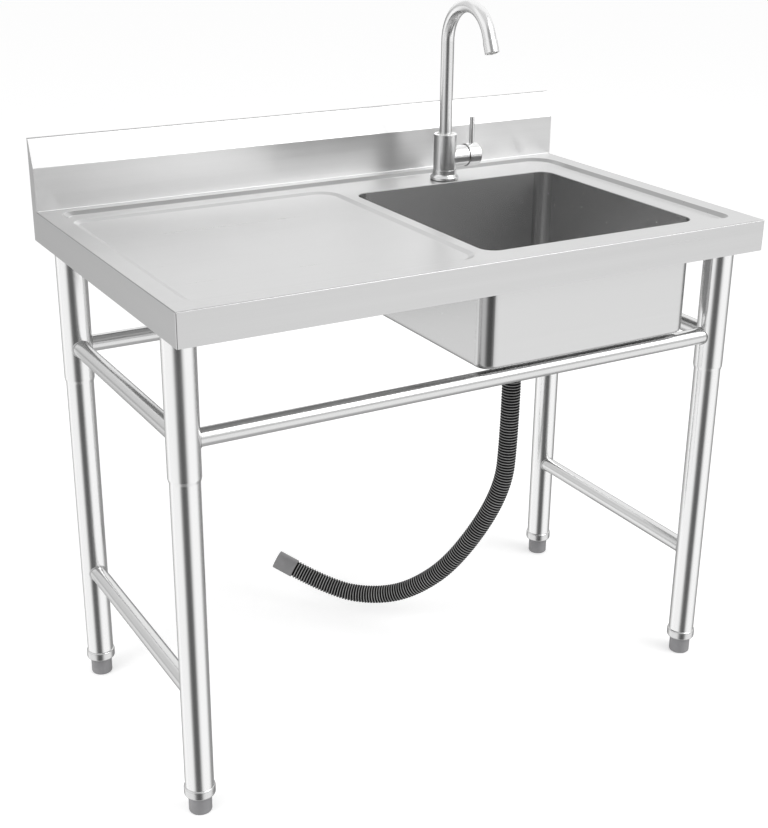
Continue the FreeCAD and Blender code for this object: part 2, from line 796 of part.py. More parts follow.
def spout_end():
    """Where the spout tube ends, with local Z pointing out of it."""
    turn = FreeCAD.Rotation(ALONG, arch_turn)
    centre = point(basin_x, faucet_y - arch_radius, arch_start)
    end = centre + turn.multVec(BACK * arch_radius) + turn.multVec(UP) * spout_straight
    return FreeCAD.Placement(end, turn)


def spout():
    low = chamber_floor + seat_gap
    collar = upright(spout_collar_radius, low, low + spout_collar, basin_x, faucet_y)
    outer = bent_tube(spout_radius, low).fuse(collar)
    return outer.cut(bent_tube(spout_radius - spout_gauge, low))


def spout_bush():
    """Sleeve that carries the swivelling spout, with two seal grooves."""
    x, y = basin_x, faucet_y
    low = chamber_floor + 2 * seat_gap + spout_collar
    top = body_top - bush_recess
    bush = pipe(chamber_radius - running_fit, spout_radius + running_fit, low, top, x, y)
    for step in oring_steps:
        middle = top - step
        groove = spout_radius + 2 * oring_radius + 2 * running_fit + weld_gap
        bush = bush.cut(upright(groove, middle - groove_height / 2, middle + groove_height / 2, x, y))
    return bush


def spout_orings():
    rings = [Part.makeTorus(spout_radius + oring_radius + 2 * running_fit, oring_radius,
                            point(basin_x, faucet_y, body_top - bush_recess - step), UP)
             for step in oring_steps]
    return Part.makeCompound(rings)


def at_spout_end(solid):
    placed = solid.copy()
    placed.Placement = spout_end().multiply(placed.Placement)
    return placed


def aerator_housing():
    spigot = spout_radius - spout_gauge - running_fit
    profile = [(aerator_bore, -aerator_spigot), (spigot, -aerator_spigot), (spigot, 0.0),
               (aerator_radius, 0.0), (aerator_radius, aerator_length), (aerator_bore, aerator_length)]
    return at_spout_end(turned(profile, 0.0, 0.0, [0.0, 0.0, 0.0] + aerator_edges))


def aerator_insert():
    """Perforated jet former, just inside the mouth of the spout."""
    top = aerator_length - aerator_recess
    disc = upright(aerator_bore - running_fit, top - aerator_insert_length, top)
    hollow = upright(aerator_bore - aerator_insert_wall, top - aerator_insert_length,
                     top - aerator_insert_wall)
    jets = []
    for circle, count in zip(jet_circles, jet_counts):
        for index in range(count):
            x, y = around(circle, index, count)
            jets.append(upright(jet_radius, 0.0, aerator_length, x, y))
    return at_spout_end(disc.cut(hollow).cut(jets))


def faucet_shank():
    """Threaded shank with two inlet ports in its lower end."""
    top = body_bottom + shank_engagement
    low = deck - shank_drop
    shank = upright(shank_radius, low, top, basin_x, faucet_y)
    for side in (-1, 1):
        x = basin_x + side * port_offset
        shank = shank.cut(upright(port_radius, low, low + port_depth, x, faucet_y))
        shank = shank.cut(upright(port_waterway, low, top, x, faucet_y))
    return shank


def faucet_washer():
    bore = shank_radius + tube_fit
    return pipe(washer_radius, bore, under_top - washer_thickness, under_top, basin_x, faucet_y)


def faucet_nut():
    top = under_top - washer_thickness
    corners = [around(nut_outer_radius, index, nut_sides, basin_x, faucet_y) for index in range(nut_sides)]
    body = plate(corners, [nut_corner] * nut_sides, top - nut_thickness, top)
    return body.cut(upright(shank_radius, top - nut_thickness, top, basin_x, faucet_y))


# ---------------------------------------------------------------- drain
def strainer_cup():
    """Pressed steel cup in the basin's drain hole, with a slotted floor."""
    outer, inner = strainer_cup_radius, strainer_cup_radius - strainer_gauge
    profile = [(0.0, strainer_bottom), (outer, strainer_bottom), (outer, dish_top),
               (strainer_flange_radius, dish_top), (strainer_flange_radius, strainer_top),
               (inner, strainer_top), (inner, strainer_floor), (0.0, strainer_floor)]
    edge, corner = strainer_flange / 2, strainer_cup_corner
    cup = turned(profile, basin_x, basin_y, [0.0, corner, 0.0, 0.0, edge, edge, corner - strainer_gauge, 0.0])
    holes = [upright(drain_screw_radius + tube_fit, strainer_bottom, strainer_floor, basin_x, basin_y)]
    for index in range(strainer_slots):
        x, y = around(strainer_slot_circle, index, strainer_slots, basin_x, basin_y)
        holes.append(upright(strainer_slot_radius, strainer_bottom, strainer_floor, x, y))
    return cup.cut(holes)


def drain_gasket():
    return pipe(drain_gasket_radius, drain_hole_radius, drain_body_top, dish_bottom, basin_x, basin_y)


def drain_body():
    """Plastic bowl clamped under the basin, with a screw boss on three ribs and a threaded outlet."""
    low = drain_body_top - drain_flange
    inner = bowl_radius - bowl_wall
    profile = [(outlet_bore, outlet_bottom), (outlet_radius, outlet_bottom), (outlet_radius, outlet_top),
               (bowl_radius, bowl_bottom), (bowl_radius, low), (drain_gasket_radius, low),
               (drain_gasket_radius, drain_body_top), (inner, drain_body_top), (inner, bowl_bottom),
               (outlet_bore, outlet_top)]
    outer_edges = [bowl_edge, bowl_edge, bowl_flange_edge, bowl_flange_edge]
    bowl = turned(profile, basin_x, basin_y,
                  [0.0, 0.0] + outer_edges + [0.0, 0.0, bowl_inner_edge, bowl_inner_edge])
    boss_low = strainer_bottom - boss_length
    parts = [upright(boss_radius, boss_low, strainer_bottom, basin_x, basin_y)]
    for index in range(boss_ribs):
        web = block((0.0, -rib_thickness / 2, boss_low),
                    (inner + bowl_wall / 2, rib_thickness / 2, strainer_bottom))
        web.rotate(point(0, 0, 0), UP, 360.0 / boss_ribs * index)
        web.translate(point(basin_x, basin_y, 0))
        parts.append(web)
    throat, wall = outlet_bore + bowl_wall / 2, inner + bowl_wall / 2
    envelope = turned([(0.0, outlet_bottom), (throat, outlet_bottom), (throat, outlet_top),
                       (wall, bowl_bottom), (wall, drain_body_top), (0.0, drain_body_top)],
                      basin_x, basin_y)
    spider = parts[0].fuse(parts[1:]).common(envelope)
    hole = upright(drain_screw_radius, boss_low, strainer_bottom, basin_x, basin_y)
    return bowl.fuse(spider).cut(hole)


def drain_screw():
    """Screw that draws the strainer cup and the drain body together."""
    x, y = basin_x, basin_y
    tip = strainer_floor - drain_screw_length
    shank = upright(drain_screw_radius - running_fit, tip, strainer_floor, x, y)
    head = turned([(0.0, strainer_floor), (drain_screw_head_radius, strainer_floor),
                   (drain_screw_head_radius, strainer_floor + drain_screw_head),
                   (0.0, strainer_floor + drain_screw_head)], x, y, [0.0, 0.0, drain_screw_edge, 0.0])
    driver = upright(screw_socket_radius, strainer_floor + drain_screw_head / 2,
                     strainer_floor + drain_screw_head, x, y)
    return shank.fuse(head).cut(driver)


def strainer_basket():
    """Lift-out perforated basket with a post and knob."""
    x, y = basin_x, basin_y
    rim = strainer_top + seat_gap
    floor = rim + basket_gauge - basket_depth
    inner = basket_radius - basket_gauge
    outside = basket_radius + basket_rim
    profile = [(0.0, floor), (basket_radius, floor), (basket_radius, rim), (outside, rim),
               (outside, rim + basket_gauge), (inner, rim + basket_gauge),
               (inner, floor + basket_gauge), (0.0, floor + basket_gauge)]
    inner_corner = basket_corner - basket_gauge
    pan = turned(profile, x, y, [0.0, basket_corner, 0.0, 0.0, 0.0, 0.0, inner_corner, 0.0])
    holes = []
    for circle, count in zip(basket_hole_circles, basket_hole_counts):
        for index in range(count):
            hole_x, hole_y = around(circle, index, count, x, y)
            holes.append(upright(basket_hole_radius, floor, floor + basket_gauge, hole_x, hole_y))
    post_top = rim + knob_rise
    post = upright(basket_post_radius, floor, post_top, x, y)
    knob = turned([(0.0, post_top), (knob_radius, post_top), (knob_radius, post_top + knob_height),
                   (0.0, post_top + knob_height)], x, y, [0.0] + knob_edges + [0.0])
    return pan.cut(holes).fuse([post, knob])


def hose_nut():
    """Fluted nut that clamps the hose cuff to the outlet."""
    x, y = basin_x, basin_y
    top = hose_nut_bottom + hose_nut_height
    nut = upright(hose_nut_radius, hose_nut_bottom, top, x, y)
    edges = [e for e in nut.Edges if e.Closed]
    nut = nut.makeChamfer(hose_nut_chamfer, edges)
    cuts = [upright(cuff_radius + tube_fit, hose_nut_bottom, top, x, y),
            upright(outlet_radius + running_fit, hose_nut_bottom + hose_nut_lip, top, x, y)]
    for index in range(hose_nut_flutes):
        flute_x, flute_y = around(hose_nut_radius + flute_offset, index, hose_nut_flutes, x, y)
        cuts.append(upright(flute_radius, hose_nut_bottom, top, flute_x, flute_y))
    return nut.cut(cuts)


def hose_top_cuff():
    """Smooth rubber cuff, clamped by the nut, that the ribbed hose starts from."""
    flange_low = outlet_bottom - cuff_flange
    profile = [(hose_bore, top_cuff_end), (cuff_radius, top_cuff_end), (cuff_radius, flange_low),
               (cuff_flange_radius, flange_low), (cuff_flange_radius, outlet_bottom),
               (hose_bore, outlet_bottom)]
    return turned(profile, basin_x, basin_y, [0.0, end_cuff_edge, 0.0, 0.0, 0.0, 0.0])


def hose_corners():
    return [point(basin_x, basin_y, height) + HOSE_WAY * reach for reach, height in hose_route]


def hose_spans():
    """The hose's centre line as straight runs and tangent arcs: (kind, length, data)."""
    corners = hose_corners()
    spans, start = [], corners[0]
    for before, here, after in zip(corners, corners[1:], corners[2:]):
        back, ahead = direction(before - here), direction(after - here)
        half_turn = (math.pi - back.getAngle(ahead)) / 2
        reach = bend_share * min((before - here).Length, (after - here).Length)
        radius = reach / math.tan(half_turn)
        bisector = direction(back + ahead)
        centre = here + bisector * (radius / math.cos(half_turn))
        enter, leave = here + back * reach, here + ahead * reach
        spans.append(("line", (enter - start).Length, (start, enter)))
        crown = centre - bisector * radius
        spans.append(("arc", 2 * half_turn * radius, (enter, crown, leave, centre, radius)))
        start = leave
    spans.append(("line", (corners[-1] - start).Length, (start, corners[-1])))
    return spans


def hose_place(spans, distance):
    """Point and direction on the centre line at a distance from its start."""
    for kind, length, data in spans:
        if distance > length + 1e-6:
            distance -= length
            continue
        if kind == "line":
            ahead = direction(data[1] - data[0])
            return data[0] + ahead * distance, ahead
        enter, _, leave, centre, radius = data
        first = direction(enter - centre)
        side = direction(leave - centre) - first * first.dot(direction(leave - centre))
        side = direction(side)
        angle = distance / radius
        here = centre + (first * math.cos(angle) + side * math.sin(angle)) * radius
        return here, side * math.cos(angle) - first * math.sin(angle)
    return data[1], direction(data[1] - data[0])


def drain_hose():
    """Ribbed hose: each rib is four circles, with a smooth bore and one plain diameter at each end."""
    spans = hose_spans()
    total = sum(length for _, length, _ in spans)
    plain = hose_crest
    ribs = int((total - 2 * plain) / hose_rib_pitch)
    pitch = (total - 2 * plain) / ribs
    stations = [(0.0, hose_valley)]
    for index in range(ribs):
        start = plain + index * pitch
        for share, radius in hose_rib_shape:
            stations.append((start + share * pitch, radius))
    stations.append((total, hose_valley))

    def circle(distance, radius):
        here, ahead = hose_place(spans, distance)
        ring = Part.Circle(here, ahead, radius)
        ring.XAxis = HOSE_WAY.cross(UP)
        return Part.Wire(ring.toShape())

    outer = Part.makeLoft([circle(d, r) for d, r in stations], True, True)
    frusta = sum((b - a) * (r * r + r * s + s * s) / 3
                 for (a, r), (b, s) in zip(stations, stations[1:]))
    edges = []
    for kind, _, data in spans:
        if kind == "line":
            edges.append(Part.LineSegment(data[0], data[1]).toShape())
        else:
            edges.append(Part.Arc(data[0], data[1], data[2]).toShape())
    bore = Part.Wire(edges).makePipeShell([circle(0.0, hose_bore)], True, False)
    radii = [data[4] for kind, _, data in spans if kind == "arc"]
    print("hose bend radii", [round(r) for r in radii], "length", round(total, 1), "ribs", ribs)
    print("hose volume against its sections times its length: outside",
          round(outer.Volume / (math.pi * frusta), 4),
          "bore", round(bore.Volume / (math.pi * hose_bore ** 2 * total), 4))
    return outer.cut(bore)


def hose_end_cuff():
    """Smooth cuff at the free end of the hose."""
    before, last = hose_corners()[-2:]
    profile = [(end_cuff_bore, 0.0), (cuff_radius, 0.0), (cuff_radius, end_cuff_length),
               (end_cuff_bore, end_cuff_length)]
    cuff = turned(profile, 0.0, 0.0, [0.0, end_cuff_edge, end_cuff_edge, 0.0])
    cuff.Placement = FreeCAD.Placement(last, FreeCAD.Rotation(UP, last - before)).multiply(cuff.Placement)
    return cuff


# ---------------------------------------------------------------- the whole unit
def build():
    nodes = {
        "worktop": worktop(),
        "backsplash": backsplash(),
        "backsplash_caps": Part.makeCompound([backsplash_cap(side) for side in (-1, 1)]),
        "basin": basin(),
        "leg_channel_left": leg_channel(-1),
        "leg_channel_right": leg_channel(1),
        "stiffener_front": stiffener(field_front + stiffener_inset),
        "stiffener_rear": stiffener(field_rear - stiffener_inset),
    }
    for name, (x, y) in leg_places.items():
        nodes["upper_leg_" + name] = upper_leg(x, y)
        nodes["lower_leg_" + name] = lower_leg(x, y)
        nodes["foot_insert_" + name] = foot_insert(x, y)
        nodes["foot_" + name] = foot(x, y)
    nodes["leg_sockets"] = Part.makeCompound([leg_socket(x, y) for x, y in leg_places.values()])
    nodes["leg_screws"] = Part.makeCompound([leg_screw(x, y) for x, y in leg_places.values()])
    sides = {"front": ("front_left", "front_right"), "rear": ("rear_left", "rear_right"),
             "left": ("front_left", "rear_left"), "right": ("front_right", "rear_right")}
    for name, (first, second) in sides.items():
        ends = leg_places[first], leg_places[second]
        nodes["upper_rail_" + name] = rail(*ends, upper_rail_height, upper_leg_radius)
    for name in ("left", "right"):
        ends = [leg_places[leg] for leg in sides[name]]
        nodes["lower_rail_" + name] = rail(*ends, lower_rail_height, lower_leg_radius)
    makers = [faucet_gasket, faucet_flange, faucet_body, cartridge_housing, cartridge_carrier, stem_pin,
              cartridge_stem, cartridge_nut, handle_cap, handle_lever, handle_screw, spout, spout_bush,
              spout_orings, aerator_housing, aerator_insert, faucet_shank, faucet_washer, faucet_nut,
              strainer_cup, drain_gasket, drain_body, drain_screw, strainer_basket, hose_nut,
              hose_top_cuff, drain_hose, hose_end_cuff]
    for maker in makers:
        nodes[maker.__name__] = maker()
    return nodes


os.makedirs("parts", exist_ok=True)
for node_name, shape in build().items():
    shape.exportStep("parts/" + node_name + ".step")
    print(node_name, "solids", len(shape.Solids), "valid", shape.isValid(), "volume", round(shape.Volume, 1))
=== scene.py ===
# %% [markdown]
# # A free-standing steel sink unit
# The metal parts arrive as finished solids, already in metres and in their places. What is left for Blender
# is what a camera sees: brushed and polished steel, moulded plastic, weld beads and a ribbed rubber hose.
# The first cell loads the solids.

# %% Load the solids
import bmesh
import bpy
import math
from mathutils import Matrix, Vector


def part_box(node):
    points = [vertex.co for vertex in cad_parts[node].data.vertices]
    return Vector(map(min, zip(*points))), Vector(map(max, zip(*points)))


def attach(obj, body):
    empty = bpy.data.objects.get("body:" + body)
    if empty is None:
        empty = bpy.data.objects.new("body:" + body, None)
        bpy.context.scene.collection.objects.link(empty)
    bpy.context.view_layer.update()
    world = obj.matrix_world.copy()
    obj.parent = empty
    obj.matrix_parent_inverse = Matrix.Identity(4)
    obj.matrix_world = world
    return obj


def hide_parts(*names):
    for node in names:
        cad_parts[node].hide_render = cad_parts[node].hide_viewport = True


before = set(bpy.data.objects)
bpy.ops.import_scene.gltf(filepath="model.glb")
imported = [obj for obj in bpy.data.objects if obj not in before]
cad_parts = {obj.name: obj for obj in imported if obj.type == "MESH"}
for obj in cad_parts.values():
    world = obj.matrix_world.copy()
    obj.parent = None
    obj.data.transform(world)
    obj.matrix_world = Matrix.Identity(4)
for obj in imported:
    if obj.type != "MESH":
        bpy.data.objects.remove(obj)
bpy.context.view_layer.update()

# %% [markdown]
# ## The camera
# The photograph looks down on the unit from its front left corner. A camera is three turns: about the
# upright axis, then down by the tilt, and last a small roll about its own line of sight. Building the
# matrix from those three keeps each number readable.

# %% Camera at the photograph's viewpoint
PICTURE_HEIGHT = 828            # pixels, the long side of the picture
FOCAL_PIXELS = 1410.0
SENSOR = 36.0                   # millimetres along the long side
HEADING = -30.09                # degrees about the upright axis, from a look along +Y
LOOK_DOWN = 22.17               # degrees below the horizon
LEAN = 0.566                    # degrees about the line of sight
EYE = (-1.118, -1.893, 1.368)

turn = Matrix.Rotation(math.radians(HEADING), 4, "Z")
tilt = Matrix.Rotation(math.radians(90 - LOOK_DOWN), 4, "X")
roll = Matrix.Rotation(math.radians(LEAN), 4, "Z")
lens = bpy.data.cameras.new("viewpoint")
lens.sensor_width = SENSOR
lens.lens = FOCAL_PIXELS / PICTURE_HEIGHT * SENSOR
camera = bpy.data.objects.new("viewpoint", lens)
camera.matrix_world = Matrix.Translation(EYE) @ turn @ tilt @ roll
bpy.context.scene.collection.objects.link(camera)
bpy.context.scene.camera = camera
print("lens", round(lens.lens, 2), "mm")

# %% [markdown]
# ## The drain hose
# The hose is a stiff ribbed tube that keeps the bend it was given. Its line is a smooth NURBS curve
# through the air from the cuff under the drain to the cuff at its free end. A curve with a round bevel
# would be smooth, so the wall is made instead by drawing one ring of vertices along the curve and
# swelling it at every rib.

# %% The hose's line
DRAIN = Vector((0.203, -0.048, 0.0))
HOSE_TURN = math.radians(135)   # way the hose swings out from under the drain
HOSE_ROUTE = [(0.000, 0.522), (0.000, 0.410), (0.007, 0.298), (0.088, 0.151), (0.165, 0.081),
              (0.237, 0.054), (0.321, 0.055), (0.397, 0.088)]     # reach from the drain, height
LINE_STEPS = 64                 # points read from each span of the curve
UP = Vector((0, 0, 1))
hose_way = Vector((math.cos(HOSE_TURN), math.sin(HOSE_TURN), 0))


def smooth_line(points, steps):
    """Points read from a NURBS spline with the given control points."""
    curve = bpy.data.curves.new("line", "CURVE")
    curve.dimensions = "3D"
    curve.resolution_u = steps
    spline = curve.splines.new("NURBS")
    spline.points.add(len(points) - 1)
    for place, control in zip(points, spline.points):
        control.co = (*place, 1)
    spline.order_u = 3
    spline.use_endpoint_u = True
    holder = bpy.data.objects.new("line", curve)
    mesh = bpy.data.meshes.new_from_object(holder)
    line = [vertex.co.copy() for vertex in mesh.vertices]
    bpy.data.objects.remove(holder)
    bpy.data.meshes.remove(mesh)
    return line


route = [DRAIN + hose_way * reach + UP * height for reach, height in HOSE_ROUTE]
hose_line = smooth_line(route, LINE_STEPS)
hose_length = sum((b - a).length for a, b in zip(hose_line, hose_line[1:]))
print("hose line", len(hose_line), "points", round(hose_length, 3), "m")

# %% A ring drawn along a line
RIB_PITCH = 0.0052
CREST = 0.0165                  # radius on a rib
VALLEY = 0.0141                 # radius between two ribs
BORE = 0.0125                   # inner radius
PLAIN_END = 0.002               # length without ribs at either end


def along(line, distance):
    """Place and direction at a distance along a line of points."""
    for start, end in zip(line, line[1:]):
        step = (end - start).length
        if distance <= step or end is line[-1]:
            return start + (end - start) * (distance / step), (end - start).normalized()
        distance -= step


def link(mesh, name, body):
    """Puts a bmesh in the scene as a smooth piece that faces outward and rides on a body."""
    bmesh.ops.recalc_face_normals(mesh, faces=mesh.faces[:])
    for face in mesh.faces:
        face.smooth = True
    data = bpy.data.meshes.new(name)
    mesh.to_mesh(data)
    mesh.free()
    piece = bpy.data.objects.new(name, data)
    bpy.context.scene.collection.objects.link(piece)
    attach(piece, body)
    return piece


def swept(mesh, line, stations, sides):
    """Tube along a line; stations are (distance, radius). Returns its end rings.
    Each vertex remembers how high on a rib it stands, for the painted highlight on the ribs."""
    crest = mesh.verts.layers.float.get("crest") or mesh.verts.layers.float.new("crest")
    side = hose_way.cross(UP)
    ring = bmesh.ops.create_circle(mesh, segments=sides, radius=1.0)["verts"]
    rings = []
    for distance, radius in stations:
        place, ahead = along(line, distance)
        up = ahead.cross(side)
        turned = Matrix((side, up, ahead)).transposed().to_4x4()
        target = Matrix.Translation(place) @ turned @ Matrix.Diagonal((radius, radius, 1, 1))
        if rings:
            edges = {edge for vertex in ring for edge in vertex.link_edges
                     if all(end in ring for end in edge.verts)}
            made = bmesh.ops.extrude_edge_only(mesh, edges=list(edges))["geom"]
            ring = [part for part in made if isinstance(part, bmesh.types.BMVert)]
            bmesh.ops.transform(mesh, verts=ring, matrix=target @ last.inverted())
        else:
            bmesh.ops.transform(mesh, verts=ring, matrix=target)
        for vertex in ring:
            vertex[crest] = (radius - VALLEY) / (CREST - VALLEY)
        last = target
        rings.append(ring)
    return rings[0], rings[-1]


# %% The ribbed hose
HOSE_SIDES = 40
BORE_STEPS = 60
# one rib, as (share of the pitch, radius)
RIB_SHAPE = [(0.08, VALLEY), (0.20, VALLEY + 0.0007), (0.33, CREST - 0.0004), (0.50, CREST),
             (0.67, CREST - 0.0004), (0.80, VALLEY + 0.0007), (0.92, VALLEY)]


def closed_rings(mesh, first, second):
    """Bridges the rims of two rings of vertices."""
    edges = {edge for vertex in first + second for edge in vertex.link_edges
             if len(edge.link_faces) == 1 and (all(end in first for end in edge.verts)
                                               or all(end in second for end in edge.verts))}
    bmesh.ops.bridge_loops(mesh, edges=list(edges))


ribbed_length = hose_length - 2 * PLAIN_END
ribs = int(ribbed_length / RIB_PITCH)
pitch = ribbed_length / ribs
outside = [(0.0, VALLEY)]
for rib in range(ribs):
    outside += [(PLAIN_END + (rib + share) * pitch, radius) for share, radius in RIB_SHAPE]
outside.append((hose_length, VALLEY))
inside = [(hose_length * step / BORE_STEPS, BORE) for step in range(BORE_STEPS + 1)]

mesh = bmesh.new()
outer_start, outer_end = swept(mesh, hose_line, outside, HOSE_SIDES)
inner_start, inner_end = swept(mesh, hose_line, inside, HOSE_SIDES)
closed_rings(mesh, outer_start, inner_start)
closed_rings(mesh, outer_end, inner_end)
hose = link(mesh, "ribbed_drain_hose", "sink_unit")
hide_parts("drain_hose")
print("hose ribs:", ribs, "faces:", len(hose.data.polygons))

# %% [markdown]
# ## Weld beads
# Every rail is welded to its legs all round. The bead is a thin ring that lies on the leg, so it is bent
# like a saddle. It starts as a small circle spun about the rail's axis, and each vertex is then moved
# back to the leg's round side.

# %% Beads where the rails meet the legs
BEAD = 0.0016                   # radius of a bead's section
BEAD_SIDES = 10
BEAD_STEPS = 48                 # sections round a bead
RAIL_LEGS = {"front": ("front_left", "front_right"), "rear": ("rear_left", "rear_right"),
             "left": ("front_left", "rear_left"), "right": ("front_right", "rear_right")}


def on_axis(low, high, height):
    """The point at a height on the axis of an upright tube that fills a box."""
    return Vector(((low[0] + high[0]) / 2, (low[1] + high[1]) / 2, height))


def weld_bead(name, rail, leg, other_leg):
    """Ring of weld round the end of a rail, on the side of a leg."""
    low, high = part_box(rail)
    height, rail_radius = (low[2] + high[2]) / 2, (high[2] - low[2]) / 2
    low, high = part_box(leg)
    centre, leg_radius = on_axis(low, high, height), (high[0] - low[0]) / 2
    low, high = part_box(other_leg)
    way = on_axis(low, high, height) - centre
    mesh = bmesh.new()
    start = Matrix.Translation((0, 0, rail_radius)) @ Matrix.Rotation(math.radians(90), 4, "X")
    bmesh.ops.create_circle(mesh, segments=BEAD_SIDES, radius=BEAD, matrix=start)
    bmesh.ops.spin(mesh, geom=mesh.verts[:] + mesh.edges[:], cent=(0, 0, 0), axis=(1, 0, 0),
                   angle=2 * math.pi, steps=BEAD_STEPS, use_merge=True)
    for vertex in mesh.verts:
        vertex.co.x += math.sqrt(leg_radius ** 2 - vertex.co.y ** 2)
    turned = Matrix.Rotation(math.atan2(way.y, way.x), 4, "Z")
    bmesh.ops.transform(mesh, verts=mesh.verts, matrix=Matrix.Translation(centre) @ turned)
    return link(mesh, name, "sink_unit")


beads = []
for level, sides in (("upper", ("front", "rear", "left", "right")), ("lower", ("left", "right"))):
    for rail_side in sides:
        first, second = RAIL_LEGS[rail_side]
        for leg, other in ((first, second), (second, first)):
            beads.append(weld_bead(f"weld_{level}_{rail_side}_{leg}", f"{level}_rail_{rail_side}",
                                   f"{level}_leg_{leg}", f"{level}_leg_{other}"))
print("weld beads:", len(beads))

# %% [markdown]
# ## The studio
# Steel has next to no colour of its own: it shows the room. The room here is pale above and greyer below,
# with bright screens at the front right and on the left, a dark gap behind the viewpoint and a darker
# line at the horizon. They are painted on the world by direction, as masks of azimuth and height, so
# every view sees the same room. Only mirrors see it. Straight into the camera the world is plain white,
# and everything that isn't a mirror gets a plain pale light.

# %% Helpers for shader nodes
def node(tree, kind, inputs=(), **settings):
    """Adds a node, sets its properties, and fills or connects its inputs."""
    made = tree.nodes.new(kind)
    for name, value in settings.items():
        setattr(made, name, value)
    for name, value in dict(inputs).items():
        if isinstance(value, bpy.types.NodeSocket):
            tree.links.new(value, made.inputs[name])
        else:
            made.inputs[name].default_value = value
    return made


def sums(tree, operation, first, second=0.0, third=0.0):
    """A Math node's result."""
    return node(tree, "ShaderNodeMath", {0: first, 1: second, 2: third}, operation=operation).outputs[0]


def spread(tree, value, start, end):
    """A soft step from 0 to 1 as value goes from start to end."""
    made = node(tree, "ShaderNodeMapRange", {"Value": value, "From Min": start, "From Max": end},
                interpolation_type="SMOOTHSTEP")
    return made.outputs[0]


# %% Masks and light in the room
world = bpy.data.worlds.new("studio")
bpy.context.scene.world = world
world.use_nodes = True
room = world.node_tree
room.nodes.clear()
ray = node(room, "ShaderNodeTexCoord").outputs["Generated"]
parts = node(room, "ShaderNodeSeparateXYZ", {"Vector": ray})
height = parts.outputs["Z"]
flat = node(room, "ShaderNodeCombineXYZ", {"X": parts.outputs["X"], "Y": parts.outputs["Y"]})
level_ray = node(room, "ShaderNodeVectorMath", {0: flat.outputs[0]}, operation="NORMALIZE").outputs[0]


def facing(azimuth, inner, outer):
    """1 within inner degrees of an azimuth, fading to 0 at outer degrees."""
    angle = math.radians(azimuth)
    aim = (math.cos(angle), math.sin(angle), 0)
    dot = node(room, "ShaderNodeVectorMath", {0: level_ray, 1: aim}, operation="DOT_PRODUCT")
    return spread(room, dot.outputs["Value"], math.cos(math.radians(outer)), math.cos(math.radians(inner)))


def band(start, full, fade, end):
    """1 between two heights of the unit sphere, fading to 0 below and above them."""
    return sums(room, "MULTIPLY", spread(room, height, start, full), spread(room, height, end, fade))


def lit(level, mask, amount):
    """Adds light where a mask is 1."""
    return sums(room, "MULTIPLY_ADD", mask, amount, level)


def darkened(level, mask, share):
    """Takes a share of the light away where a mask is 1."""
    return sums(room, "MULTIPLY", level, sums(room, "MULTIPLY_ADD", mask, -share, 1.0))


def mix(first, second, factor):
    """first where the factor is 0, second where it is 1."""
    return sums(room, "MULTIPLY_ADD", factor, sums(room, "SUBTRACT", second, first), first)


def both(first, second):
    """1 where both masks are 1."""
    return sums(room, "MULTIPLY", first, second)


# %% The room that the steel reflects
FRONT_RIGHT = -50               # azimuths in degrees, from +X towards +Y
FRONT_SCREEN = -60
LEFT = 168
REAR_LEFT = 118
REAR_RIGHT = 60
VIEWER = -120
LOWER_WALL = 0.42               # light of the bare surfaces, where 1 is white
UPPER_WALL = 0.95
FLOOR_LIGHT = 0.65
PLAIN_LIGHT = 0.72              # what everything but mirrors receives
WHITE = (1, 1, 1, 1)

low = lit(LOWER_WALL, facing(FRONT_RIGHT, 15, 55), 0.95)
low = lit(low, facing(LEFT, 20, 70), 0.90)
low = lit(low, facing(REAR_LEFT, 12, 30), 0.22)
low = darkened(low, facing(VIEWER, 7, 34), 0.64)
low = mix(low, FLOOR_LIGHT, spread(room, height, -0.72, -0.90))
high = lit(UPPER_WALL, facing(REAR_RIGHT, 45, 80), 0.42)
high = lit(high, both(facing(FRONT_SCREEN, 32, 58), band(0.12, 0.26, 0.60, 0.78)), 0.28)
high = lit(high, both(facing(LEFT, 18, 55), band(0.0, 0.1, 0.6, 0.8)), 0.40)
high = darkened(high, both(facing(VIEWER, 7, 34), band(-0.1, 0.0, 0.6, 0.8)), 0.55)
high = darkened(high, both(facing(REAR_LEFT, 13, 25), band(0.0, 0.08, 0.60, 0.70)), 0.25)
light = mix(low, high, spread(room, height, -0.06, 0.14))
light = darkened(light, band(-0.17, -0.06, 0.03, 0.10), 0.40)

kind_of_ray = node(room, "ShaderNodeLightPath")
painted = node(room, "ShaderNodeBackground", {"Strength": light})
plain = node(room, "ShaderNodeBackground", {"Color": WHITE, "Strength": PLAIN_LIGHT})
white = node(room, "ShaderNodeBackground", {"Color": WHITE, "Strength": 1.0})
mirror_or_soft = node(room, "ShaderNodeMixShader", {0: kind_of_ray.outputs["Is Glossy Ray"],
                                                    1: plain.outputs[0], 2: painted.outputs[0]})
seen = node(room, "ShaderNodeMixShader", {0: kind_of_ray.outputs["Is Camera Ray"],
                                          1: mirror_or_soft.outputs[0], 2: white.outputs[0]})
node(room, "ShaderNodeOutputWorld", {"Surface": seen.outputs[0]})
print("room nodes:", len(room.nodes))

# %% [markdown]
# Two square lamps give the floor its soft shadow and the plastic its shape. The key lamp is wide, because
# the mirror image of a small one burns a white spot into every round corner of the steel. The fill lamp
# is hidden from mirrors, where it would show as a square.

# %% Lamps
LAMP_TARGET = Vector((0, 0, 0.4))


def lamp(name, place, size, power):
    """A square soft light that looks at the unit."""
    data = bpy.data.lights.new(name, "AREA")
    data.size = size
    data.energy = power
    holder = bpy.data.objects.new(name, data)
    aim = (LAMP_TARGET - Vector(place)).to_track_quat("-Z", "Y")
    holder.matrix_world = Matrix.Translation(place) @ aim.to_matrix().to_4x4()
    bpy.context.scene.collection.objects.link(holder)
    return holder


